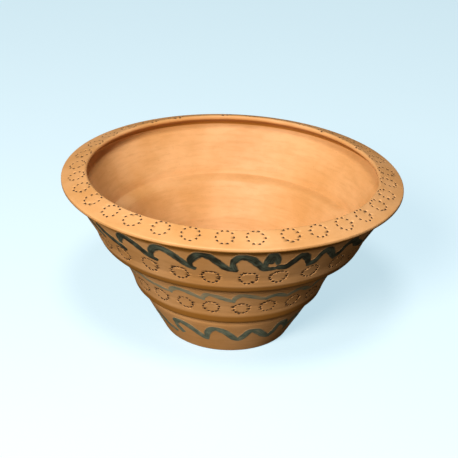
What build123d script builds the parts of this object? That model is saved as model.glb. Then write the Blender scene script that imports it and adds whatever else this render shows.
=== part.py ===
"""Cone planter: a wheel-thrown terracotta bowl in three stepped tiers, with brushed slip waves.

Millimetres, +Z up, origin at the centre of the base, on the ground.
The clay is one fired body. Each slip wave is a thin coat laid on the wall of its own tier.
"""

import os
from dataclasses import dataclass
from math import atan2, cos, hypot, radians, sin, tan

from build123d import *

# Foot, floor and drain hole
foot_radius = 85.0
foot_bevel = 2.0
floor_thickness = 12.0
floor_cove = 9.0
drain_radius = 11.0
drain_bevel = 1.5

# Clay walls, and the soft edge that a wet sponge leaves on the shelves inside
wall = 11.0
ledge_thickness = 13.0
ledge_fall = 6.0
ledge_bevel = 4.0

# Lower tier: a plain cone that stands up straighter just under the step
lower_rise = 56.0
lower_flare = 30.0
lower_collar_rise = 8.0
lower_collar_flare = 2.0

# Middle tier: its heel juts out over the collar below, then the wall flares
middle_jut = 5.5
middle_heel_rise = 2.5
middle_belly_rise = 16.0
middle_belly_flare = 7.0
middle_waist_rise = 13.5
middle_waist_flare = 6.5
middle_rise = 28.0
middle_flare = 17.0
middle_collar_rise = 8.5
middle_collar_flare = 3.5
middle_heel_round = 5.0

# Upper tier, the same way and larger
upper_jut = 11.5
upper_heel_rise = 2.5
upper_belly_rise = 12.0
upper_belly_flare = 9.0
upper_waist_rise = 11.5
upper_waist_flare = 4.5
upper_rise = 51.0
upper_flare = 31.8
upper_heel_round = 8.0

# Rim: a flat flange that falls a little from the mouth to its outer lip
rim_overhang = 11.7
rim_under_rise = 4.7
lip_thickness = 4.5
rim_width = 34.0
rim_fall = 10.5
mouth_depth = 7.0
lip_bevel = 1.3
mouth_bevel = 2.8
mouth_wear = 0.9
cove_bevel = 6.0

# Slip waves: the brush is flat and held upright, so it is wider up the wall than along it
slip_thickness = 0.4
brush_breadth = 0.6
crest_share = 0.3
upper_stroke_count = 28
upper_brush = 10.0
upper_wave_height = 26.5
upper_wave_place = 0.65
middle_stroke_count = 21
middle_brush = 5.5
middle_wave_height = 11.5
middle_wave_place = 0.66
lower_stroke_count = 15
lower_brush = 8.0
lower_wave_height = 24.5
lower_wave_place = 0.67


@dataclass
class Run:
    """A straight run of a wall, from its lower point to its upper one, as (radius, height)."""

    low: tuple
    high: tuple

    def slope(self):
        return atan2(self.high[0] - self.low[0], self.high[1] - self.low[1])

    def length(self):
        return hypot(self.high[0] - self.low[0], self.high[1] - self.low[1])

    def at(self, share):
        return tuple(a + share * (b - a) for a, b in zip(self.low, self.high))


def step(point, outward, up):
    return (point[0] + outward, point[1] + up)


# Outer wall, from the foot to the lip
foot = (foot_radius, 0.0)
lower_top = step(foot, lower_flare, lower_rise)
lower_crease = step(lower_top, lower_collar_flare, lower_collar_rise)
middle_heel = step(lower_crease, middle_jut, middle_heel_rise)
middle_belly = step(middle_heel, middle_belly_flare, middle_belly_rise)
middle_waist = step(middle_belly, middle_waist_flare, middle_waist_rise)
middle_top = step(middle_waist, middle_flare, middle_rise)
middle_crease = step(middle_top, middle_collar_flare, middle_collar_rise)
upper_heel = step(middle_crease, upper_jut, upper_heel_rise)
upper_belly = step(upper_heel, upper_belly_flare, upper_belly_rise)
upper_waist = step(upper_belly, upper_waist_flare, upper_waist_rise)
upper_top = step(upper_waist, upper_flare, upper_rise)
lip_under = step(upper_top, rim_overhang, rim_under_rise)
lip_over = step(lip_under, 0.0, lip_thickness)
mouth_over = step(lip_over, -rim_width, rim_fall)
mouth_under = step(mouth_over, 0.0, -mouth_depth)

# Inner wall, from the rim down to the floor, a wall's thickness inside the outer one
cove = step(upper_top, -wall, 0.0)
upper_brow = step(upper_waist, -wall, 0.0)
upper_groove = (upper_belly[0] - wall, middle_crease[1] + ledge_thickness + ledge_fall)
upper_ledge = step(middle_crease, -wall / 2, ledge_thickness)
middle_brow = step(middle_waist, -wall, 0.0)
middle_groove = (middle_belly[0] - wall, lower_crease[1] + ledge_thickness + ledge_fall)
middle_ledge = step(lower_crease, -wall / 2 - ledge_fall / 2, ledge_thickness)
floor_corner = (foot_radius + floor_thickness * lower_flare / lower_rise - wall, floor_thickness)

outline = [
    (drain_radius, 0.0), foot, lower_top, lower_crease, middle_heel, middle_belly, middle_waist,
    middle_top, middle_crease, upper_heel, upper_belly, upper_waist, upper_top,
    lip_under, lip_over, mouth_over, mouth_under, cove,
    upper_brow, upper_groove, upper_ledge, middle_brow, middle_groove, middle_ledge,
    floor_corner, (drain_radius, floor_thickness),
]

rounds = [(middle_heel, middle_heel_round), (upper_heel, upper_heel_round)]

bevels = [
    (outline[0], drain_bevel), (outline[-1], drain_bevel), (foot, foot_bevel),
    (lip_under, lip_bevel), (lip_over, lip_bevel), (mouth_over, mouth_bevel), (mouth_under, mouth_bevel),
    (cove, cove_bevel), (upper_ledge, ledge_bevel), (middle_ledge, ledge_bevel), (floor_corner, floor_cove),
]


def corner(face, point):
    """The face's vertex at a point of the outline."""
    return face.vertices().sort_by_distance(Vector(point[0], point[1]))[0]


def pot_body():
    """The clay, turned from one section that leaves the drain hole open."""
    section = make_face(Polyline(*outline, close=True))
    for point, radius in rounds:
        section = fillet(corner(section, point), radius)
    for point, length in bevels:
        section = chamfer(corner(section, point), length)
    # the mouth is worn rounder, so the two edges that its bevel leaves are bevelled again
    for edge in [tuple(v) for v in section.vertices().sort_by_distance(Vector(*mouth_over))[:2]]:
        section = chamfer(corner(section, edge), mouth_wear)
    return revolve(Plane.XZ * section, Axis.Z)


def stroke(pitch, height, brush):
    """The flat shape of one brush stroke, centred: a steep rise, a short crest and a long fall."""
    start, end, crest = -pitch / 2, pitch / 2, (crest_share - 0.5) * pitch
    half, breadth = brush / 2, brush * brush_breadth
    under = [(start, -height / 2 - half), (crest + breadth / 2, height / 2 - half), (end, -height / 2 - half)]
    over = [
        (end, -height / 2 + half), (crest + breadth / 2, height / 2 + half),
        (crest - breadth / 2, height / 2 + half), (start, -height / 2 + half),
    ]
    return make_face(Polyline(*under, *over, close=True))


def slip_wave(run, place, count, height, brush):
    """A ring of strokes, each a piece of one thin coat on the cone of a wall run.

    One stroke is cut out of its own sector of the coat. It ends in a trough on both sides,
    and its copies meet there face to face all the way round.
    """
    slope = run.slope()
    middle = run.at(place)
    reach = (height / 2 + brush) / run.length()
    low, high = run.at(place - reach), run.at(place + reach)
    out = (slip_thickness * cos(slope), -slip_thickness * sin(slope))
    coat_section = make_face(Polyline(low, high, step(high, *out), step(low, *out), close=True))
    turn = 360 / count
    coat = Rot(0, 0, -turn / 2) * revolve(Plane.XZ * coat_section, Axis.Z, turn)
    wall_plane = Plane(
        origin=(middle[0], 0, middle[1]),
        x_dir=(0, 1, 0),
        z_dir=(cos(slope), 0, -sin(slope)),
    )
    flat = stroke(2 * middle[0] * tan(radians(turn / 2)), height, brush)
    brushed = coat & extrude(wall_plane * flat, amount=brush, both=True)
    return Compound(children=[Rot(0, 0, turns * turn) * brushed for turns in range(count)])


if __name__ == "__main__":
    os.makedirs("parts", exist_ok=True)
    lower_run = Run(foot, lower_top)
    middle_run = Run(middle_waist, middle_top)
    upper_run = Run(upper_waist, upper_top)
    export_step(pot_body(), "parts/pot_body.step")
    export_step(
        slip_wave(upper_run, upper_wave_place, upper_stroke_count, upper_wave_height, upper_brush),
        "parts/upper_wave_slip.step",
    )
    export_step(
        slip_wave(middle_run, middle_wave_place, middle_stroke_count, middle_wave_height, middle_brush),
        "parts/middle_wave_slip.step",
    )
    export_step(
        slip_wave(lower_run, lower_wave_place, lower_stroke_count, lower_wave_height, lower_brush),
        "parts/lower_wave_slip.step",
    )
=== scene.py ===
import math
import random
import bpy
from mathutils import Matrix, Vector


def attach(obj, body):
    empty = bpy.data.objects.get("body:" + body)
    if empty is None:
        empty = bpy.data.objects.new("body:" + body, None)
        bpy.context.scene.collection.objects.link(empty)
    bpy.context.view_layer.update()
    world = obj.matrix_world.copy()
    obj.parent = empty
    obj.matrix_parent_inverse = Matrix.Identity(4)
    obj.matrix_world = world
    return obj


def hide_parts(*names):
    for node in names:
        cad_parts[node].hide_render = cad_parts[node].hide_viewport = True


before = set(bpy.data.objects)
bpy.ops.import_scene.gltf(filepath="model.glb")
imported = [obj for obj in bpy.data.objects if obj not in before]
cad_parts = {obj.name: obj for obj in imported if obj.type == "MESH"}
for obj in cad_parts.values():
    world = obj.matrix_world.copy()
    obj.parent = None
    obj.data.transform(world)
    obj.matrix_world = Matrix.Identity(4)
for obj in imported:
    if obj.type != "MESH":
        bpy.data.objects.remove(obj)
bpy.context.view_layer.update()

scene = bpy.context.scene
scene.view_settings.view_transform = "Standard"
mm = 0.001


def addNode(tree, kind, inputs=None, **settings):
    # one node, its settings, and its inputs as values or as sockets to link from
    node = tree.nodes.new(kind)
    node.location = (180 * (len(tree.nodes) % 12), -260 * (len(tree.nodes) // 12))
    for name, value in settings.items():
        setattr(node, name, value)
    for key, value in (inputs or {}).items():
        if isinstance(value, bpy.types.NodeSocket):
            tree.links.new(value, node.inputs[key])
        else:
            node.inputs[key].default_value = value
    return node


def hexColour(text):
    # sRGB hex to linear
    parts = [int(text[i:i + 2], 16) / 255 for i in (1, 3, 5)]
    return [p / 12.92 if p <= 0.04045 else ((p + 0.055) / 1.055) ** 2.4 for p in parts] + [1.0]


def newObject(name, data):
    made = bpy.data.objects.new(name, data)
    scene.collection.objects.link(made)
    return made


def newGeometryTree(name, fields):
    # fields: input name -> (socket type, value); the tree is filled in by its maker
    tree = bpy.data.node_groups.new(name, "GeometryNodeTree")
    tree.interface.new_socket("Geometry", in_out="INPUT", socket_type="NodeSocketGeometry")
    tree.interface.new_socket("Geometry", in_out="OUTPUT", socket_type="NodeSocketGeometry")
    for label, (kind, value) in fields.items():
        socket = tree.interface.new_socket(label, in_out="INPUT", socket_type=kind)
        if value is not None:
            socket.default_value = value
    return tree


def applyTree(piece, tree, values, name):
    # runs a tree on an object with named inputs, and leaves a plain mesh in its place
    modifier = piece.modifiers.new(tree.name, "NODES")
    modifier.node_group = tree
    sockets = {s.name: s.identifier for s in tree.interface.items_tree if s.in_out == "INPUT"}
    for label, value in values.items():
        modifier[sockets[label]] = value
    bpy.context.view_layer.update()
    mesh = bpy.data.meshes.new_from_object(piece.evaluated_get(bpy.context.evaluated_depsgraph_get()))
    piece.modifiers.remove(modifier)
    mesh.name = name
    made = newObject(name, mesh)
    bpy.data.objects.remove(piece)
    return made


# Camera, at the photograph's viewing angle
view = {
    "place": (0.0, -1.458, 0.8454),     # m
    "pitch": 25.86,                     # degrees down
    "yaw": -0.07,
    "roll": -2.5,
    "lens": 1200 / 458 * 36,            # mm on a 36 mm sensor
}


def makeCamera():
    camera = newObject("camera", bpy.data.cameras.new("camera"))
    camera.data.lens = view["lens"]
    camera.data.sensor_width = 36
    camera.data.clip_end = 50
    pitch, yaw, roll = (math.radians(view[k]) for k in ("pitch", "yaw", "roll"))
    ahead = Vector((math.sin(yaw) * math.cos(pitch), math.cos(yaw) * math.cos(pitch), -math.sin(pitch)))
    across = ahead.cross(Vector((0, 0, 1))).normalized()
    down = ahead.cross(across)
    right = math.cos(roll) * across + math.sin(roll) * down
    up = math.sin(roll) * across - math.cos(roll) * down
    turn = Matrix((right, up, -ahead)).transposed().to_4x4()
    camera.matrix_world = Matrix.Translation(view["place"]) @ turn
    scene.camera = camera


makeCamera()
print("camera set")


# Clay, slip and punched marks
clay = {
    "pale": "#D8A26C",
    "warm": "#CA9156",
    "deep": "#A87538",
    "grog": "#8A4F26",
    "shadeAmber": "#905A0C",
    "shadeShare": 0.85,
    # bands of painted shade as (middle, half height): the two heels and the rim
    "shadedBands": [(139 * mm, 7.5 * mm), (72 * mm, 6.5 * mm), (214 * mm, 10 * mm)],
    "bandEdge": (2.5 * mm, 1.5 * mm),   # how far a band fades inside its edge and past it
    "cloud": 70 * mm,       # drifts of tone from the kiln
    "speck": 1.6 * mm,      # grog, drawn coarser than it is so that it shows
    "throwLine": 5.0 * mm,  # pitch of the rib marks
}


def clayColour(tree, place):
    # bisque-fired earthenware: warm tone that drifts, fine rib lines, a peppering of grog
    drift = addNode(tree, "ShaderNodeTexNoise", {"Vector": place, "Scale": 1 / clay["cloud"],
                    "Detail": 4.0, "Roughness": 0.55})
    tone = addNode(tree, "ShaderNodeValToRGB", {"Fac": drift.outputs["Fac"]})
    tone.color_ramp.elements[0].position = 0.34
    tone.color_ramp.elements[0].color = hexColour(clay["warm"])
    tone.color_ramp.elements[1].position = 0.66
    tone.color_ramp.elements[1].color = hexColour(clay["pale"])
    flat = addNode(tree, "ShaderNodeMapping", {"Vector": place, "Scale": (0.15, 0.15, 1.0)})
    lines = addNode(tree, "ShaderNodeTexNoise", {"Vector": flat.outputs[0],
                    "Scale": 1 / clay["throwLine"], "Detail": 5.0, "Roughness": 0.6})
    lineShare = addNode(tree, "ShaderNodeMapRange", {"Value": lines.outputs["Fac"],
                        "From Min": 0.45, "From Max": 0.8, "To Max": 0.35})
    lined = addNode(tree, "ShaderNodeMix", {0: lineShare.outputs[0], 6: tone.outputs[0],
                    7: hexColour(clay["deep"])}, data_type="RGBA")
    grog = addNode(tree, "ShaderNodeTexNoise", {"Vector": place, "Scale": 1 / clay["speck"],
                   "Detail": 2.0})
    grogShare = addNode(tree, "ShaderNodeMapRange", {"Value": grog.outputs["Fac"],
                        "From Min": 0.66, "From Max": 0.78, "To Max": 0.4})
    peppered = addNode(tree, "ShaderNodeMix", {0: grogShare.outputs[0], 6: lined.outputs[2],
                       7: hexColour(clay["grog"])}, data_type="RGBA")
    return peppered.outputs[2], lines.outputs["Fac"], grog.outputs["Fac"]


def newMaterial(name):
    made = bpy.data.materials.new(name)
    made.use_nodes = True
    return made, made.node_tree, made.node_tree.nodes["Principled BSDF"]


def makeTerracotta():
    made, tree, surface = newMaterial("bisqueFiredTerracotta")
    place = addNode(tree, "ShaderNodeTexCoord").outputs["Object"]
    colour, lines, grog = clayColour(tree, place)
    # painted shade: the heels and the underside of the rim are painted a deeper amber, on the faces that
    # turn down
    down = addNode(tree, "ShaderNodeAttribute", attribute_name="facesDown").outputs["Fac"]
    facing = addNode(tree, "ShaderNodeMath", {0: down, 1: 0.1}, operation="GREATER_THAN").outputs[0]
    height = addNode(tree, "ShaderNodeSeparateXYZ", {0: place}).outputs[2]
    share = 0.0
    inside, past = clay["bandEdge"]
    for middle, half in clay["shadedBands"]:
        away = addNode(tree, "ShaderNodeMath", {0: height, 1: middle}, operation="SUBTRACT").outputs[0]
        apart = addNode(tree, "ShaderNodeMath", {0: away}, operation="ABSOLUTE").outputs[0]
        band = addNode(tree, "ShaderNodeMapRange", {"Value": apart, "From Min": half - inside,
                       "From Max": half + past, "To Min": clay["shadeShare"], "To Max": 0.0}).outputs[0]
        share = addNode(tree, "ShaderNodeMath", {0: share, 1: band}, operation="MAXIMUM").outputs[0]
    shadeShare = addNode(tree, "ShaderNodeMath", {0: share, 1: facing}, operation="MULTIPLY")
    toned = addNode(tree, "ShaderNodeMix", {0: shadeShare.outputs[0], 6: colour,
                    7: hexColour(clay["shadeAmber"])}, data_type="RGBA")
    tree.links.new(toned.outputs[2], surface.inputs["Base Color"])
    rough = addNode(tree, "ShaderNodeMapRange", {"Value": lines, "To Min": 0.46, "To Max": 0.66})
    tree.links.new(rough.outputs[0], surface.inputs["Roughness"])
    ribs = addNode(tree, "ShaderNodeBump", {"Height": lines, "Strength": 0.35, "Distance": 0.5 * mm})
    grain = addNode(tree, "ShaderNodeBump", {"Height": grog, "Strength": 0.3, "Distance": 0.2 * mm,
                    "Normal": ribs.outputs[0]})
    tree.links.new(grain.outputs[0], surface.inputs["Normal"])
    surface.inputs["Specular IOR Level"].default_value = 0.35
    return made


punch = {
    "dark": "#221108",
    "light": "#48290F",
    "patch": 9 * mm,        # how far the dark tone in the marks runs before it changes
}


def makePunchedClay():
    # the floor of a stamped mark, coloured dark brown in patches
    made, tree, surface = newMaterial("darkPunchMarkFloor")
    place = addNode(tree, "ShaderNodeTexCoord").outputs["Object"]
    patch = addNode(tree, "ShaderNodeTexNoise", {"Vector": place, "Scale": 1 / punch["patch"],
                    "Detail": 2.0})
    tone = addNode(tree, "ShaderNodeMix", {0: patch.outputs["Fac"], 6: hexColour(punch["dark"]),
                   7: hexColour(punch["light"])}, data_type="RGBA")
    tree.links.new(tone.outputs[2], surface.inputs["Base Color"])
    surface.inputs["Roughness"].default_value = 0.8
    return made


slip = {
    "thick": "#24261A",
    "thin": "#7F8C7A",
    "trail": 25 * mm,       # how far a brush hair's trail runs before it changes
    "hairs": 3.0,           # trails from the middle of a stroke to its edge
    "patch": 12 * mm,       # and how far the brush's load runs before it changes
    "edge": 0.72,           # where the stroke starts to thin out, from its middle at 0 to its edge at 1
}


def makeSlip():
    # iron-dark slip laid with a flat brush: dense in the middle, streaky and thin at its edges
    made, tree, surface = newMaterial("brushedDarkSlip")
    place = addNode(tree, "ShaderNodeTexCoord").outputs["Object"]
    clayTone = clayColour(tree, place)[0]
    along = addNode(tree, "ShaderNodeAttribute", attribute_name="strokeAlong").outputs["Fac"]
    across = addNode(tree, "ShaderNodeAttribute", attribute_name="strokeAcross").outputs["Fac"]
    hairs = addNode(tree, "ShaderNodeCombineXYZ", {"X": along, "Y": across})
    stretched = addNode(tree, "ShaderNodeMapping", {"Vector": hairs.outputs[0],
                        "Scale": (1 / slip["trail"], slip["hairs"], 1.0)})
    streak = addNode(tree, "ShaderNodeTexNoise", {"Vector": stretched.outputs[0], "Scale": 1.0,
                     "Detail": 3.0, "Roughness": 0.6})
    patch = addNode(tree, "ShaderNodeTexNoise", {"Vector": place, "Scale": 1 / slip["patch"],
                    "Detail": 2.0})
    even = addNode(tree, "ShaderNodeMath", {0: streak.outputs["Fac"], 1: patch.outputs["Fac"]},
                   operation="ADD")
    load = addNode(tree, "ShaderNodeAttribute", attribute_name="strokeLoad").outputs["Fac"]
    density = addNode(tree, "ShaderNodeMath", {0: even.outputs[0], 1: load}, operation="SUBTRACT")
    edgeIn = addNode(tree, "ShaderNodeMath", {0: across}, operation="ABSOLUTE")
    fade = addNode(tree, "ShaderNodeMapRange", {"Value": edgeIn.outputs[0], "From Min": slip["edge"],
                   "From Max": 1.0, "To Min": 1.0, "To Max": 0.0})
    tone = addNode(tree, "ShaderNodeMapRange", {"Value": density.outputs[0], "From Min": 0.1,
                   "From Max": 0.9})
    coat = addNode(tree, "ShaderNodeMix", {0: tone.outputs[0], 6: hexColour(slip["thick"]),
                   7: hexColour(slip["thin"])}, data_type="RGBA")
    cover = addNode(tree, "ShaderNodeMapRange", {"Value": density.outputs[0], "From Min": 1.2,
                    "From Max": 0.7, "To Min": 0.55})
    share = addNode(tree, "ShaderNodeMath", {0: fade.outputs[0], 1: cover.outputs[0]},
                    operation="MULTIPLY")
    mixed = addNode(tree, "ShaderNodeMix", {0: share.outputs[0], 6: clayTone, 7: coat.outputs[2]},
                    data_type="RGBA")
    tree.links.new(mixed.outputs[2], surface.inputs["Base Color"])
    surface.inputs["Roughness"].default_value = 0.6
    relief = addNode(tree, "ShaderNodeBump", {"Height": streak.outputs["Fac"], "Strength": 0.2,
                     "Distance": 0.2 * mm})
    tree.links.new(relief.outputs[0], surface.inputs["Normal"])
    return made


terracotta = makeTerracotta()
punchedClay = makePunchedClay()
darkSlip = makeSlip()
print("materials made")


# The thrown body: one section in mm as (radius, height, turn), outer wall up, inner wall down
pot = {
    "drain": 11.0,
    "floor": 12.0,
    "outer": [
        (86.0, 0.0, 2.0), (117.0, 56.0, 24.0), (118.5, 64.0, 0.8),
        (127.0, 65.5, 8.0), (132.5, 82.0, 14.0), (138.5, 96.0, 24.0),
        (153.5, 123.0, 20.0), (155.5, 132.0, 0.8),
        (172.5, 134.0, 12.0), (179.0, 147.0, 14.0), (183.5, 158.5, 24.0),
        (213.0, 209.0, 4.0), (225.0, 214.2, 1.8),
    ],
    "rim": [(225.0, 218.7, 1.8), (191.0, 229.2, 3.0), (191.5, 223.2, 2.0)],
    "inner": [
        (206.5, 212.5, 6.0), (170.5, 158.5, 20.0), (166.5, 149.0, 1.2), (151.0, 145.5, 16.0),
        (125.0, 96.0, 14.0), (119.5, 80.0, 1.2), (108.5, 77.0, 10.0), (80.4, 12.0, 14.0),
    ],
    "step": 3.2,            # longest edge along the section
    "around": 216,          # segments round the pot
    "ribPitch": 6.5 * mm,
    "ribDepth": 0.10 * mm,
    "warp": 2.2 * mm,       # how far the front and back of the rim stand up
    "tilt": -1.0 * mm,      # and the front a little more than the back
    "rimHeight": 225 * mm,  # where the rim has all of its warp
}


def roundedSection(corners, step):
    # straight runs joined by arcs, cut into edges no longer than the step
    places = []
    count = len(corners)
    for i, (r, z, turn) in enumerate(corners):
        here = Vector((r, z))
        back = (Vector(corners[i - 1][:2]) - here).normalized()
        on = (Vector(corners[(i + 1) % count][:2]) - here).normalized()
        if turn == 0:
            places.append(here)
            continue
        half = back.angle(on) / 2
        reach = turn / math.tan(half)
        centre = here + (back + on).normalized() * turn / math.sin(half)
        start, end = here + back * reach - centre, here + on * reach - centre
        sweep = math.pi - 2 * half
        pieces = max(2, round(turn * sweep / step), round(sweep / 0.3))
        side = 1 if start.cross(end) > 0 else -1
        for k in range(pieces + 1):
            angle = side * sweep * k / pieces
            turned = Vector((start.x * math.cos(angle) - start.y * math.sin(angle),
                             start.x * math.sin(angle) + start.y * math.cos(angle)))
            places.append(centre + turned)
    filled = []
    for i, here in enumerate(places):
        ahead = places[(i + 1) % len(places)]
        pieces = max(1, math.ceil((ahead - here).length / step))
        filled += [here.lerp(ahead, k / pieces) for k in range(pieces)]
    return filled


def flatCurve(name, lines, closed, radii=None):
    # poly splines from lists of (x, y), in metres
    data = bpy.data.curves.new(name, "CURVE")
    data.dimensions = "3D"
    for row, line in enumerate(lines):
        spline = data.splines.new("POLY")
        spline.points.add(len(line) - 1)
        for i, (point, place) in enumerate(zip(spline.points, line)):
            point.co = (place[0], place[1], 0, 1)
            if radii:
                point.radius = radii[row][i]
        spline.use_cyclic_u = closed
    return newObject(name, data)


# How far a hand is off when it stamps a ring, and the marks in one
stray = {
    "degrees": 0.7,         # along the band
    "up": 0.9 * mm,
    "spin": 0.05,           # of a mark round its ring, in radians
    "size": 0.05,           # of a mark's distance from the middle, as a share
    "from": 20 * mm,        # how far off the wall the ray starts that sets a mark on it
}

# Stamped rings: where each ring lies on the section, and how it was punched
rings = {
    "rim": {"Rings": 33, "First": -1.8, "Radius": 204.5 * mm, "Height": 225.1 * mm, "Lean": 162.8,
            "Ring Size": 10.9 * mm, "Marks": 10, "Mark Length": 3.4 * mm, "Mark Width": 2.4 * mm,
            "Mark Depth": 1.2 * mm, "Unevenness": 0.9, "Seed": 3},
    "upper": {"Rings": 28, "First": -5.9, "Radius": 184.8 * mm, "Height": 163.6 * mm, "Lean": 60.0,
              "Ring Size": 10.9 * mm, "Marks": 13, "Mark Length": 4.0 * mm, "Mark Width": 2.6 * mm,
              "Mark Depth": 1.5 * mm, "Unevenness": 0.35, "Seed": 5},
    "middle": {"Rings": 24, "First": -7.6, "Radius": 135.6 * mm, "Height": 95.5 * mm, "Lean": 62.0,
               "Ring Size": 10.2 * mm, "Marks": 12, "Mark Length": 3.8 * mm, "Mark Width": 2.5 * mm,
               "Mark Depth": 1.5 * mm, "Unevenness": 0.35, "Seed": 8},
}
ringFields = {
    "Rings": ("NodeSocketInt", 1), "First": ("NodeSocketFloat", 0.0),
    "Radius": ("NodeSocketFloat", 0.2), "Height": ("NodeSocketFloat", 0.2),
    "Lean": ("NodeSocketFloat", 60.0), "Ring Size": ("NodeSocketFloat", 0.01),
    "Marks": ("NodeSocketInt", 10), "Mark Length": ("NodeSocketFloat", 0.003),
    "Mark Width": ("NodeSocketFloat", 0.001), "Mark Depth": ("NodeSocketFloat", 0.001),
    "Unevenness": ("NodeSocketFloat", 0.3),
    "Seed": ("NodeSocketInt", 0),
}


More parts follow.
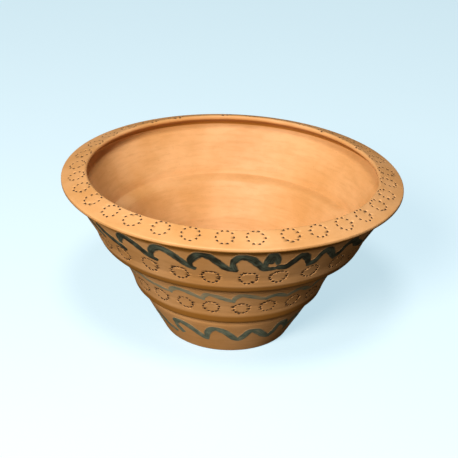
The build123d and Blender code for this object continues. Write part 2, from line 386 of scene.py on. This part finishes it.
def punchRingsTree():
    # cutters for a band of stamped rings, each set on the wall by a ray
    tree = newGeometryTree("punchRings", ringFields)
    given = addNode(tree, "NodeGroupInput").outputs
    total = addNode(tree, "ShaderNodeMath", {0: given["Rings"], 1: given["Marks"]}, operation="MULTIPLY")
    points = addNode(tree, "GeometryNodePoints", {"Count": total.outputs[0], "Position": (0, 0, 0)})
    index = addNode(tree, "GeometryNodeInputIndex").outputs[0]
    ratio = addNode(tree, "ShaderNodeMath", {0: index, 1: given["Marks"]}, operation="DIVIDE")
    ring = addNode(tree, "ShaderNodeMath", {0: ratio.outputs[0]}, operation="FLOOR").outputs[0]
    mark = addNode(tree, "ShaderNodeMath", {0: ratio.outputs[0]}, operation="FRACT").outputs[0]
    # each ring is a little off its place, and each mark a little off its ring
    loose = addNode(tree, "FunctionNodeRandomValue", {0: (-1, -1, -1), 1: (1, 1, 1), "ID": ring,
                    "Seed": given["Seed"]}, data_type="FLOAT_VECTOR").outputs[0]
    strayParts = addNode(tree, "ShaderNodeSeparateXYZ", {0: loose}).outputs
    shake = addNode(tree, "FunctionNodeRandomValue", {0: (-1, -1, -1), 1: (1, 1, 1), "ID": index,
                    "Seed": given["Seed"]}, data_type="FLOAT_VECTOR").outputs[0]
    shakeParts = addNode(tree, "ShaderNodeSeparateXYZ", {0: shake}).outputs
    pitch = addNode(tree, "ShaderNodeMath", {0: 360.0, 1: given["Rings"]}, operation="DIVIDE")
    azimuth = addNode(tree, "ShaderNodeMath", {0: ring, 1: pitch.outputs[0], 2: given["First"]},
                      operation="MULTIPLY_ADD")
    azimuthStray = addNode(tree, "ShaderNodeMath", {0: strayParts[0], 1: stray["degrees"],
                           2: azimuth.outputs[0]}, operation="MULTIPLY_ADD")
    around = addNode(tree, "ShaderNodeMath", {0: azimuthStray.outputs[0]}, operation="RADIANS").outputs[0]
    # place on the ring: angle, then across and up the wall
    spin = addNode(tree, "ShaderNodeMath", {0: mark, 1: math.tau, 2: strayParts[2]},
                   operation="MULTIPLY_ADD").outputs[0]
    spinShake = addNode(tree, "ShaderNodeMath", {0: shakeParts[0], 1: stray["spin"], 2: spin},
                        operation="MULTIPLY_ADD").outputs[0]
    cosine = addNode(tree, "ShaderNodeMath", {0: spinShake}, operation="COSINE").outputs[0]
    sine = addNode(tree, "ShaderNodeMath", {0: spinShake}, operation="SINE").outputs[0]
    sizeShake = addNode(tree, "ShaderNodeMath", {0: shakeParts[1], 1: stray["size"], 2: 1.0},
                        operation="MULTIPLY_ADD").outputs[0]
    size = addNode(tree, "ShaderNodeMath", {0: given["Ring Size"], 1: sizeShake},
                   operation="MULTIPLY").outputs[0]
    across = addNode(tree, "ShaderNodeMath", {0: cosine, 1: size}, operation="MULTIPLY").outputs[0]
    upWall = addNode(tree, "ShaderNodeMath", {0: sine, 1: size}, operation="MULTIPLY").outputs[0]
    upStray = addNode(tree, "ShaderNodeMath", {0: strayParts[1], 1: stray["up"], 2: upWall},
                      operation="MULTIPLY_ADD").outputs[0]
    lean = addNode(tree, "ShaderNodeMath", {0: given["Lean"]}, operation="RADIANS").outputs[0]
    leanOut = addNode(tree, "ShaderNodeMath", {0: lean}, operation="COSINE").outputs[0]
    leanUp = addNode(tree, "ShaderNodeMath", {0: lean}, operation="SINE").outputs[0]
    minusOut = addNode(tree, "ShaderNodeMath", {0: leanOut, 1: -1.0}, operation="MULTIPLY").outputs[0]
    minusUp = addNode(tree, "ShaderNodeMath", {0: leanUp, 1: -1.0}, operation="MULTIPLY").outputs[0]
    radius = addNode(tree, "ShaderNodeMath", {0: upStray, 1: leanOut, 2: given["Radius"]},
                     operation="MULTIPLY_ADD").outputs[0]
    minusRadius = addNode(tree, "ShaderNodeMath", {0: radius, 1: -1.0}, operation="MULTIPLY").outputs[0]
    height = addNode(tree, "ShaderNodeMath", {0: upStray, 1: leanUp, 2: given["Height"]},
                     operation="MULTIPLY_ADD").outputs[0]
    # on the near side, then turned round the pot
    near = addNode(tree, "ShaderNodeCombineXYZ", {0: across, 1: minusRadius, 2: height}).outputs[0]
    outNear = addNode(tree, "ShaderNodeCombineXYZ", {0: 0.0, 1: minusUp, 2: minusOut}).outputs[0]
    alongOut = addNode(tree, "ShaderNodeMath", {0: cosine, 1: minusOut}, operation="MULTIPLY").outputs[0]
    alongUp = addNode(tree, "ShaderNodeMath", {0: cosine, 1: leanUp}, operation="MULTIPLY").outputs[0]
    minusSine = addNode(tree, "ShaderNodeMath", {0: sine, 1: -1.0}, operation="MULTIPLY").outputs[0]
    alongNear = addNode(tree, "ShaderNodeCombineXYZ", {0: minusSine, 1: alongOut, 2: alongUp}).outputs[0]
    place, out, along = (
        addNode(tree, "ShaderNodeVectorRotate", {"Vector": v, "Angle": around},
                rotation_type="Z_AXIS").outputs[0]
        for v in (near, outNear, alongNear))
    start = addNode(tree, "ShaderNodeVectorMath", {0: out, 1: (stray["from"],) * 3, 2: place},
                    operation="MULTIPLY_ADD").outputs[0]
    inward = addNode(tree, "ShaderNodeVectorMath", {0: out, "Scale": -1.0}, operation="SCALE").outputs[0]
    hit = addNode(tree, "GeometryNodeRaycast", {"Target Geometry": given["Geometry"],
                  "Source Position": start, "Ray Direction": inward, "Ray Length": 0.1})
    placed = addNode(tree, "GeometryNodeSetPosition", {"Geometry": points.outputs[0],
                     "Position": hit.outputs["Hit Position"]})
    facing = addNode(tree, "FunctionNodeAxesToRotation", {0: out, 1: along},
                     primary_axis="Z", secondary_axis="X")
    deep = addNode(tree, "ShaderNodeMath", {0: shakeParts[2], 1: given["Unevenness"], 2: 1.0},
                   operation="MULTIPLY_ADD")
    deepness = addNode(tree, "ShaderNodeMath", {0: deep.outputs[0], 1: given["Mark Depth"]},
                       operation="MULTIPLY")
    halfLength = addNode(tree, "ShaderNodeMath", {0: given["Mark Length"], 1: 0.5}, operation="MULTIPLY")
    halfWidth = addNode(tree, "ShaderNodeMath", {0: given["Mark Width"], 1: 0.5}, operation="MULTIPLY")
    scale = addNode(tree, "ShaderNodeCombineXYZ", {0: halfLength.outputs[0], 1: halfWidth.outputs[0],
                    2: deepness.outputs[0]})
    stamp = addNode(tree, "GeometryNodeMeshUVSphere", {"Segments": 10, "Rings": 5, "Radius": 1.0})
    stampMaterial = addNode(tree, "GeometryNodeSetMaterial", {"Geometry": stamp.outputs["Mesh"],
                            "Material": punchedClay})
    stamps = addNode(tree, "GeometryNodeInstanceOnPoints", {"Points": placed.outputs[0],
                     "Instance": stampMaterial.outputs[0], "Rotation": facing.outputs[0],
                     "Scale": scale.outputs[0]})
    real = addNode(tree, "GeometryNodeRealizeInstances", {0: stamps.outputs[0]})
    addNode(tree, "NodeGroupOutput", {0: real.outputs[0]})
    return tree


def throwPotTree(punchTree):
    # turns the section round, raises the rib lines, and punches the bands of rings
    tree = newGeometryTree("throwPot", {
        "Around": ("NodeSocketInt", 300), "Rib Pitch": ("NodeSocketFloat", 0.006),
        "Rib Depth": ("NodeSocketFloat", 0.0001), "Clay": ("NodeSocketMaterial", None),
        "Warp": ("NodeSocketFloat", 0.0), "Tilt": ("NodeSocketFloat", 0.0),
        "Rim Height": ("NodeSocketFloat", 0.22)})
    given = addNode(tree, "NodeGroupInput").outputs
    path = addNode(tree, "GeometryNodeCurvePrimitiveCircle", {"Resolution": given["Around"],
                   "Radius": 1 * mm})
    turned = addNode(tree, "GeometryNodeCurveToMesh", {"Curve": path.outputs[0],
                     "Profile Curve": given["Geometry"]})
    clayed = addNode(tree, "GeometryNodeSetMaterial", {"Geometry": turned.outputs[0],
                     "Material": given["Clay"]})
    position = addNode(tree, "GeometryNodeInputPosition").outputs[0]
    parts = addNode(tree, "ShaderNodeSeparateXYZ", {0: position}).outputs
    angle = addNode(tree, "ShaderNodeMath", {0: parts[1], 1: parts[0]}, operation="ARCTAN2")
    turnShare = addNode(tree, "ShaderNodeMath", {0: parts[2], 1: given["Rib Pitch"]}, operation="DIVIDE")
    phase = addNode(tree, "ShaderNodeMath", {0: turnShare.outputs[0], 1: math.tau, 2: angle.outputs[0]},
                    operation="MULTIPLY_ADD")
    wave = addNode(tree, "ShaderNodeMath", {0: phase.outputs[0]}, operation="SINE")
    rise = addNode(tree, "ShaderNodeMath", {0: wave.outputs[0], 1: given["Rib Depth"]},
                   operation="MULTIPLY")
    normal = addNode(tree, "GeometryNodeInputNormal").outputs[0]
    push = addNode(tree, "ShaderNodeVectorMath", {0: normal, "Scale": rise.outputs[0]},
                   operation="SCALE")
    ribbed = addNode(tree, "GeometryNodeSetPosition", {"Geometry": clayed.outputs[0],
                     "Offset": push.outputs[0]})
    # the rim dried a little out of true: up at the front and back, down at the sides
    flatPlace = addNode(tree, "ShaderNodeCombineXYZ", {0: parts[0], 1: parts[1]})
    reach = addNode(tree, "ShaderNodeVectorMath", {0: flatPlace.outputs[0]}, operation="LENGTH")
    facing = addNode(tree, "ShaderNodeMath", {0: parts[1], 1: reach.outputs["Value"]}, operation="DIVIDE")
    facingTwice = addNode(tree, "ShaderNodeMath", {0: facing.outputs[0], 1: facing.outputs[0]},
                          operation="MULTIPLY")
    sag = addNode(tree, "ShaderNodeMath", {0: facing.outputs[0], 1: given["Tilt"]}, operation="MULTIPLY")
    bend = addNode(tree, "ShaderNodeMath", {0: facingTwice.outputs[0], 1: given["Warp"],
                   2: sag.outputs[0]}, operation="MULTIPLY_ADD")
    share = addNode(tree, "ShaderNodeMath", {0: parts[2], 1: given["Rim Height"]}, operation="DIVIDE")
    shareRise = addNode(tree, "ShaderNodeMath", {0: share.outputs[0], 1: 3.0}, operation="POWER")
    lift = addNode(tree, "ShaderNodeMath", {0: bend.outputs[0], 1: shareRise.outputs[0]},
                   operation="MULTIPLY")
    liftUp = addNode(tree, "ShaderNodeCombineXYZ", {2: lift.outputs[0]})
    warped = addNode(tree, "GeometryNodeSetPosition", {"Geometry": ribbed.outputs[0],
                     "Offset": liftUp.outputs[0]})
    smooth = addNode(tree, "GeometryNodeSetShadeSmooth", {"Geometry": warped.outputs[0]})
    # the stamps keep their material only on a mesh with a slot for it, so the base holds it meanwhile
    base = addNode(tree, "ShaderNodeMath", {0: parts[2], 1: 0.5 * mm}, operation="LESS_THAN")
    slotted = addNode(tree, "GeometryNodeSetMaterial", {"Geometry": smooth.outputs[0],
                      "Selection": base.outputs[0], "Material": punchedClay})
    cut = slotted.outputs[0]
    for band, sizes in rings.items():
        punch = addNode(tree, "GeometryNodeGroup", node_tree=punchTree)
        punch.label = band
        tree.links.new(smooth.outputs[0], punch.inputs["Geometry"])
        for label, value in sizes.items():
            punch.inputs[label].default_value = value
        carve = addNode(tree, "GeometryNodeMeshBoolean", operation="DIFFERENCE", solver="MANIFOLD")
        tree.links.new(cut, carve.inputs["Mesh 1"])
        tree.links.new(punch.outputs[0], carve.inputs["Mesh 2"])
        cut = carve.outputs["Mesh"]
    plain = addNode(tree, "GeometryNodeSetMaterial", {"Geometry": cut, "Selection": base.outputs[0],
                    "Material": given["Clay"]})
    # which way each point faces, kept for the painted shade on the faces that turn down
    upward = addNode(tree, "ShaderNodeSeparateXYZ", {0: normal}).outputs[2]
    downward = addNode(tree, "ShaderNodeMath", {0: upward, 1: -1.0}, operation="MULTIPLY")
    faced = addNode(tree, "GeometryNodeStoreNamedAttribute", {"Geometry": plain.outputs[0],
                    "Name": "facesDown", "Value": downward.outputs[0]}, data_type="FLOAT", domain="POINT")
    real = addNode(tree, "GeometryNodeRealizeInstances", {0: faced.outputs[0]})
    addNode(tree, "NodeGroupOutput", {0: real.outputs[0]})
    return tree


corners = [(pot["drain"], 0.0, 1.5)] + pot["outer"] + pot["rim"] + pot["inner"]
corners += [(pot["drain"], pot["floor"], 1.5)]
section = roundedSection(corners, pot["step"])
print("section points", len(section))
sectionCurve = flatCurve("section", [[(p.x * mm - 1 * mm, -p.y * mm) for p in reversed(section)]], True)
thrownPot = applyTree(sectionCurve, throwPotTree(punchRingsTree()), {
    "Around": pot["around"], "Rib Pitch": pot["ribPitch"], "Rib Depth": pot["ribDepth"],
    "Clay": terracotta, "Warp": pot["warp"], "Tilt": pot["tilt"], "Rim Height": pot["rimHeight"]},
    "thrownPot")
print("pot thrown", len(thrownPot.data.vertices), len(thrownPot.data.polygons),
      [m.name for m in thrownPot.data.materials if m], list(thrownPot.dimensions))
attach(thrownPot, "root")
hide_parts("pot_body")

# Slip waves: strokes on the side in view, given as (degrees round, mm up), then a loop
waves = {
    "upper": {
        "node": "upper_wave_slip", "radius": 201.0, "height": 191.0, "lean": 58.1,
        "load": 0.8, "nibUp": 12.0, "nibAlong": 8.0, "spacing": 12.7, "strokes": 19,
        "stroke": [(0.0, 179), (0.4, 191), (2.4, 202), (5.6, 200.5), (9.6, 190), (12.6, 182), (14.4, 178)],
        "drawn": [
            [(-53.7, 199), (-50.2, 190), (-45.5, 183), (-42.3, 179), (-40.4, 176)],
            [(-41.8, 186), (-41.2, 195), (-38.9, 202), (-35.2, 198), (-32.6, 191), (-29.4, 182),
             (-26.0, 178)],
            [(-28.4, 181), (-27.6, 193), (-24.8, 202), (-21.3, 200), (-17.6, 190), (-14.6, 181),
             (-11.6, 176)],
            [(-13.4, 178), (-13.2, 190), (-10.2, 202), (-6.6, 201), (-3.4, 191), (-0.6, 182), (3.4, 178)],
            [(2.4, 178), (1.4, 191), (3.4, 202), (7.2, 200), (10.6, 188), (13.4, 180.5), (17.6, 181)],
            [(12.6, 182), (12.9, 195), (14.3, 205), (16.2, 198), (17.2, 187)], [(14.5, 189), (14.8, 199)],
            [(16.6, 183), (20.4, 182), (23.0, 191), (25.2, 199), (27.4, 193), (29.2, 181)],
            [(28.6, 179), (31.8, 183), (33.2, 194), (35.0, 200), (37.4, 193), (40.6, 180)],
            [(40.2, 178), (43.0, 185), (44.6, 196), (47.6, 199), (52.0, 188), (58.6, 178)],
        ],
    },
    "middle": {
        "node": "middle_wave_slip", "radius": 147.0, "height": 114.0, "lean": 58.7,
        "load": 0.1, "nibUp": 7.4, "nibAlong": 5.6, "spacing": 17.0, "strokes": 15,
        "stroke": [(0.0, 109), (1.2, 115), (4.4, 120), (8.4, 117.5), (13.0, 111.5), (18.6, 108.5)],
        "drawn": [
            [(-56.0, 119.0), (-50.0, 119.0), (-45.0, 115.0), (-38.0, 112.5), (-30.0, 110.5)],
            [(-29.4, 108.0), (-28.8, 114.5), (-25.8, 119.5), (-21.0, 119.0), (-16.0, 114.0),
             (-11.4, 109.5)],
            [(-11.8, 107.6), (-11.8, 114.0), (-9.6, 119.4), (-5.8, 118.0), (-1.0, 113.0), (4.0, 108.0)],
            [(3.4, 107.2), (3.8, 115.0), (6.8, 120.6), (12.0, 118.0), (17.6, 113.0), (20.6, 111.5)],
            [(18.8, 110.8), (21.9, 115.2), (25.8, 116.0), (31.1, 110.0)],
            [(30.4, 109.6), (34.2, 114.5), (38.8, 117.5), (43.7, 112.0), (47.6, 110.0)],
        ],
    },
    "lower": {
        "node": "lower_wave_slip", "radius": 105.0, "height": 38.0, "lean": 61.8,
        "load": 0.3, "nibUp": 9.6, "nibAlong": 8.2, "spacing": 23.4, "strokes": 10,
        "stroke": [(0.0, 27), (1.8, 37), (5.4, 48), (10.0, 46), (16.6, 34), (22.0, 27), (24.0, 26)],
        "drawn": [
            [(-58.0, 44.0), (-54.4, 38.0), (-50.1, 30.0), (-44.3, 24.6), (-40.0, 23.0)],
            [(-33.4, 25.0), (-37.0, 34.8), (-37.2, 44.0), (-33.4, 48.4), (-27.6, 45.0), (-21.8, 36.6),
             (-15.8, 27.0), (-12.4, 24.4)],
            [(-13.8, 24.7), (-13.2, 36.3), (-10.6, 45.7), (-6.5, 48.6), (-0.5, 43.0), (6.2, 29.8),
             (11.0, 25.4)],
            [(10.0, 25.4), (13.3, 34.3), (16.8, 43.6), (21.7, 42.4), (28.7, 31.0), (34.4, 24.0)],
            [(33.4, 23.6), (37.1, 33.0), (38.6, 44.0), (41.2, 48.4), (45.6, 42.0), (48.6, 33.0)],
        ],
    },
}
brush = {
    "coat": 0.25 * mm,      # how far a stroke stands off the clay
    "sunk": 0.3 * mm,       # and how far its underside lies in it
    "step": 1.5 * mm,
    "wobble": 8 * mm,       # along the stroke, between one change of width and the next
    "widths": (0.9, 1.1),
    # how hard the brush is pressed, from the start of a stroke to its end
    "press": [(0.0, 0.66), (0.05, 0.9), (0.16, 1.0), (0.7, 0.98), (0.9, 0.8), (1.0, 0.42)],
    "loadSpread": 0.12,
    "from": 10 * mm,        # how far off the wall the ray starts that lays the stroke on it
}


def strokeLines(wave):
    # the strokes in view as they are drawn, and a hand that never repeats itself quite for the rest
    hand = random.Random(wave["strokes"])
    lines = [list(line) for line in wave["drawn"]]
    first, last = wave["drawn"][0][0][0], wave["drawn"][-1][-1][0]
    gap = (360 - (last - first)) / wave["strokes"]
    for count in range(wave["strokes"]):
        start = last + count * gap + hand.uniform(-0.5, 0.5)
        stretch = gap / wave["spacing"] * hand.uniform(0.96, 1.04)
        lift, swell = hand.uniform(-1.5, 1.5), hand.uniform(0.9, 1.08)
        low = wave["stroke"][0][1]
        lines.append([(start + turn * stretch + hand.uniform(-0.25, 0.25), low + lift + (up - low) * swell)
                      for turn, up in wave["stroke"]])
    return lines


brushFields = {
    "Wall": ("NodeSocketObject", None), "Slip": ("NodeSocketMaterial", None),
    "Radius": ("NodeSocketFloat", 0.2), "Height": ("NodeSocketFloat", 0.2),
    "Lean": ("NodeSocketFloat", 60.0),
    "Nib Up": ("NodeSocketFloat", 0.01), "Nib Along": ("NodeSocketFloat", 0.006),
    "Coat": ("NodeSocketFloat", 0.0003), "Sunk": ("NodeSocketFloat", 0.0003),
    "Load": ("NodeSocketFloat", 0.5), "Seed": ("NodeSocketInt", 0),
}


def brushSlipTree():
    # flat strokes, x round the wall and y up it, become domed ribbons that lie on the clay
    tree = newGeometryTree("brushSlip", brushFields)
    given = addNode(tree, "NodeGroupInput").outputs
    soft = addNode(tree, "GeometryNodeCurveSplineType", {0: given["Geometry"]}, spline_type="CATMULL_ROM")
    fine = addNode(tree, "GeometryNodeResampleCurve", {"Curve": soft.outputs[0], "Length": brush["step"]},
                   mode="LENGTH")
    # the nib is held upright: full width where the stroke runs level, narrower where it climbs
    tangent = addNode(tree, "GeometryNodeInputTangent").outputs[0]
    run = addNode(tree, "ShaderNodeSeparateXYZ", {0: tangent}).outputs
    level = addNode(tree, "ShaderNodeMath", {0: run[0]}, operation="ABSOLUTE").outputs[0]
    climb = addNode(tree, "ShaderNodeMath", {0: run[1]}, operation="ABSOLUTE").outputs[0]
    levelWidth = addNode(tree, "ShaderNodeMath", {0: level, 1: given["Nib Up"]}, operation="MULTIPLY")
    width = addNode(tree, "ShaderNodeMath", {0: climb, 1: given["Nib Along"], 2: levelWidth.outputs[0]},
                    operation="MULTIPLY_ADD").outputs[0]
    along = addNode(tree, "GeometryNodeSplineParameter").outputs
    press = addNode(tree, "ShaderNodeFloatCurve", {"Value": along["Factor"]})
    pressure = press.mapping.curves[0].points
    pressure[0].location, pressure[-1].location = (0.0, brush["press"][0][1]), (1.0, brush["press"][-1][1])
    for place, share in brush["press"][1:-1]:
        pressure.new(place, share)
    press.mapping.update()
    wobble = addNode(tree, "ShaderNodeTexNoise", {"Scale": 1 / brush["wobble"], "Detail": 2.0})
    wobbleShare = addNode(tree, "ShaderNodeMapRange", {"Value": wobble.outputs["Fac"], "From Min": 0.3,
                          "From Max": 0.7, "To Min": brush["widths"][0],
                          "To Max": brush["widths"][1]})
    pressed = addNode(tree, "ShaderNodeMath", {0: press.outputs[0], 1: width}, operation="MULTIPLY")
    shaky = addNode(tree, "ShaderNodeMath", {0: pressed.outputs[0], 1: wobbleShare.outputs[0]},
                    operation="MULTIPLY")
    half = addNode(tree, "ShaderNodeMath", {0: shaky.outputs[0], 1: 0.5}, operation="MULTIPLY").outputs[0]
    marked = addNode(tree, "GeometryNodeStoreNamedAttribute", {"Geometry": fine.outputs[0],
                     "Name": "strokeAlong", "Value": along["Length"]}, data_type="FLOAT", domain="POINT")
    spread = addNode(tree, "FunctionNodeRandomValue", {2: -brush["loadSpread"], 3: brush["loadSpread"],
                     "Seed": given["Seed"]}, data_type="FLOAT")
    loadValue = addNode(tree, "ShaderNodeMath", {0: spread.outputs[1], 1: given["Load"]}, operation="ADD")
    loaded = addNode(tree, "GeometryNodeStoreNamedAttribute", {"Geometry": given["Geometry"],
                     "Name": "strokeLoad", "Value": loadValue.outputs[0]}, data_type="FLOAT",
                     domain="CURVE")
    tree.links.new(loaded.outputs[0], soft.inputs[0])
    nib = addNode(tree, "GeometryNodeCurvePrimitiveCircle", {"Resolution": 18, "Radius": 1.0}).outputs[0]
    nibPlace = addNode(tree, "GeometryNodeInputPosition").outputs[0]
    nibParts = addNode(tree, "ShaderNodeSeparateXYZ", {0: nibPlace}).outputs
    nibAcross = addNode(tree, "GeometryNodeStoreNamedAttribute", {"Geometry": nib,
                        "Name": "strokeAcross", "Value": nibParts[0]}, data_type="FLOAT", domain="POINT")
    nibLift = addNode(tree, "GeometryNodeStoreNamedAttribute", {"Geometry": nibAcross.outputs[0],
                      "Name": "strokeLift", "Value": nibParts[1]}, data_type="FLOAT", domain="POINT")
    ribbon = addNode(tree, "GeometryNodeCurveToMesh", {"Curve": marked.outputs[0],
                     "Profile Curve": nibLift.outputs[0], "Scale": half, "Fill Caps": True})
    # wrap: x becomes a turn round the pot, y a way up the wall, and a ray finds the clay
    place = addNode(tree, "GeometryNodeInputPosition").outputs[0]
    parts = addNode(tree, "ShaderNodeSeparateXYZ", {0: place}).outputs
    around = addNode(tree, "ShaderNodeMath", {0: parts[0], 1: given["Radius"]},
                     operation="DIVIDE").outputs[0]
    lean = addNode(tree, "ShaderNodeMath", {0: given["Lean"]}, operation="RADIANS").outputs[0]
    leanOut = addNode(tree, "ShaderNodeMath", {0: lean}, operation="COSINE").outputs[0]
    leanUp = addNode(tree, "ShaderNodeMath", {0: lean}, operation="SINE").outputs[0]
    radius = addNode(tree, "ShaderNodeMath", {0: parts[1], 1: leanOut, 2: given["Radius"]},
                     operation="MULTIPLY_ADD").outputs[0]
    minusRadius = addNode(tree, "ShaderNodeMath", {0: radius, 1: -1.0}, operation="MULTIPLY").outputs[0]
    height = addNode(tree, "ShaderNodeMath", {0: parts[1], 1: leanUp, 2: given["Height"]},
                     operation="MULTIPLY_ADD").outputs[0]
    minusUp = addNode(tree, "ShaderNodeMath", {0: leanUp, 1: -1.0}, operation="MULTIPLY").outputs[0]
    minusOut = addNode(tree, "ShaderNodeMath", {0: leanOut, 1: -1.0}, operation="MULTIPLY").outputs[0]
    near = addNode(tree, "ShaderNodeCombineXYZ", {1: minusRadius, 2: height}).outputs[0]
    outNear = addNode(tree, "ShaderNodeCombineXYZ", {1: minusUp, 2: minusOut}).outputs[0]
    wallPlace, out = (addNode(tree, "ShaderNodeVectorRotate", {"Vector": v, "Angle": around},
                      rotation_type="Z_AXIS").outputs[0] for v in (near, outNear))
    start = addNode(tree, "ShaderNodeVectorMath", {0: out, 1: (brush["from"],) * 3, 2: wallPlace},
                    operation="MULTIPLY_ADD").outputs[0]
    inward = addNode(tree, "ShaderNodeVectorMath", {0: out, "Scale": -1.0}, operation="SCALE").outputs[0]
    wall = addNode(tree, "GeometryNodeObjectInfo", {"Object": given["Wall"]}).outputs["Geometry"]
    hit = addNode(tree, "GeometryNodeRaycast", {"Target Geometry": wall, "Source Position": start,
                  "Ray Direction": inward, "Ray Length": 0.03}).outputs
    lift = addNode(tree, "GeometryNodeInputNamedAttribute", {"Name": "strokeLift"}, data_type="FLOAT")
    raised = addNode(tree, "ShaderNodeMath", {0: lift.outputs[0], 1: given["Coat"]},
                     operation="MULTIPLY").outputs[0]
    sunk = addNode(tree, "ShaderNodeMath", {0: lift.outputs[0], 1: given["Sunk"]},
                   operation="MULTIPLY").outputs[0]
    below = addNode(tree, "ShaderNodeMath", {0: lift.outputs[0], 1: 0.0}, operation="LESS_THAN").outputs[0]
    chosen = addNode(tree, "ShaderNodeMix", {0: below, 2: raised, 3: sunk}, data_type="FLOAT").outputs[0]
    push = addNode(tree, "ShaderNodeVectorMath", {0: out, "Scale": chosen}, operation="SCALE").outputs[0]
    surfacePlace = addNode(tree, "ShaderNodeVectorMath", {0: hit["Hit Position"], 1: push},
                           operation="ADD").outputs[0]
    laid = addNode(tree, "GeometryNodeSetPosition", {"Geometry": ribbon.outputs[0],
                   "Position": surfacePlace})
    smooth = addNode(tree, "GeometryNodeSetShadeSmooth", {"Geometry": laid.outputs[0]})
    real = addNode(tree, "GeometryNodeRealizeInstances", {0: smooth.outputs[0]})
    coated = addNode(tree, "GeometryNodeSetMaterial", {"Geometry": real.outputs[0],
                     "Material": given["Slip"]})
    addNode(tree, "NodeGroupOutput", {0: coated.outputs[0]})
    return tree


brushTree = brushSlipTree()
for name, wave in waves.items():
    rise = math.sin(math.radians(wave["lean"]))
    flat = [[(math.radians(turn) * wave["radius"] * mm, (up - wave["height"]) / rise * mm)
             for turn, up in line] for line in strokeLines(wave)]
    painted = applyTree(flatCurve(name + "Strokes", flat, False), brushTree, {
        "Wall": thrownPot, "Slip": darkSlip, "Radius": wave["radius"] * mm, "Height": wave["height"] * mm,
        "Lean": wave["lean"], "Nib Up": wave["nibUp"] * mm, "Nib Along": wave["nibAlong"] * mm,
        "Coat": brush["coat"], "Sunk": brush["sunk"], "Load": wave["load"], "Seed": wave["strokes"]},
        name + "WaveSlip")
    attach(painted, "root")
    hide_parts(wave["node"])
    print("wave painted", name, len(painted.data.polygons))


# Plain pale floor and soft light
table = {
    "half": 6.0,            # m
    "seen": "#989A9A",      # as the camera sees it, and it glows a little
    "glow": "#CBE9F6",
    "glowStrength": 0.85,
    "unseen": "#2A220C",    # as the pot is lit by it
}


def makeStage():
    data = bpy.data.meshes.new("floor")
    half = table["half"]
    data.from_pydata([(-half, -half, 0), (half, -half, 0), (half, half, 0), (-half, half, 0)], [],
                     [(0, 1, 2, 3)])
    floor = newObject("floor", data)
    made, tree, surface = newMaterial("whiteTable")
    seen = addNode(tree, "ShaderNodeLightPath").outputs["Is Camera Ray"]
    top = addNode(tree, "ShaderNodeMix", {0: seen, 6: hexColour(table["unseen"]),
                  7: hexColour(table["seen"])}, data_type="RGBA")
    tree.links.new(top.outputs[2], surface.inputs["Base Color"])
    glow = addNode(tree, "ShaderNodeMath", {0: seen, 1: table["glowStrength"]}, operation="MULTIPLY")
    tree.links.new(glow.outputs[0], surface.inputs["Emission Strength"])
    surface.inputs["Emission Color"].default_value = hexColour(table["glow"])
    surface.inputs["Roughness"].default_value = 0.7
    data.materials.append(made)


light = {
    "sky": "#FFE9C8", "skyStrength": 0.12,
    # distance and size in m, degrees above the table and to the left
    "window": {"distance": 2.2, "up": 62.0, "left": 4.0, "size": 0.5, "power": 28.0, "colour": "#F6FAFF"},
    "room": {"distance": 2.4, "up": 32.0, "left": 22.0, "size": 0.8, "power": 66.0, "colour": "#FFFAF0"},
}


def makeLights():
    world = bpy.data.worlds.new("studio")
    scene.world = world
    world.use_nodes = True
    world.node_tree.nodes["Background"].inputs["Color"].default_value = hexColour(light["sky"])
    world.node_tree.nodes["Background"].inputs["Strength"].default_value = light["skyStrength"]
    for name in ("window", "room"):
        given = light[name]
        lamp = newObject(name, bpy.data.lights.new(name, "AREA"))
        lamp.data.shape = "DISK"
        lamp.data.size = given["size"]
        lamp.data.energy = given["power"]
        lamp.data.color = hexColour(given["colour"])[:3]
        up, left = math.radians(given["up"]), math.radians(given["left"])
        aim = Vector((-math.sin(left) * math.cos(up), -math.cos(left) * math.cos(up), math.sin(up)))
        lamp.location = aim * given["distance"] + Vector((0, 0, 0.15))
        lamp.rotation_euler = aim.to_track_quat("Z", "Y").to_euler()


makeStage()
makeLights()
print("stage and light set")
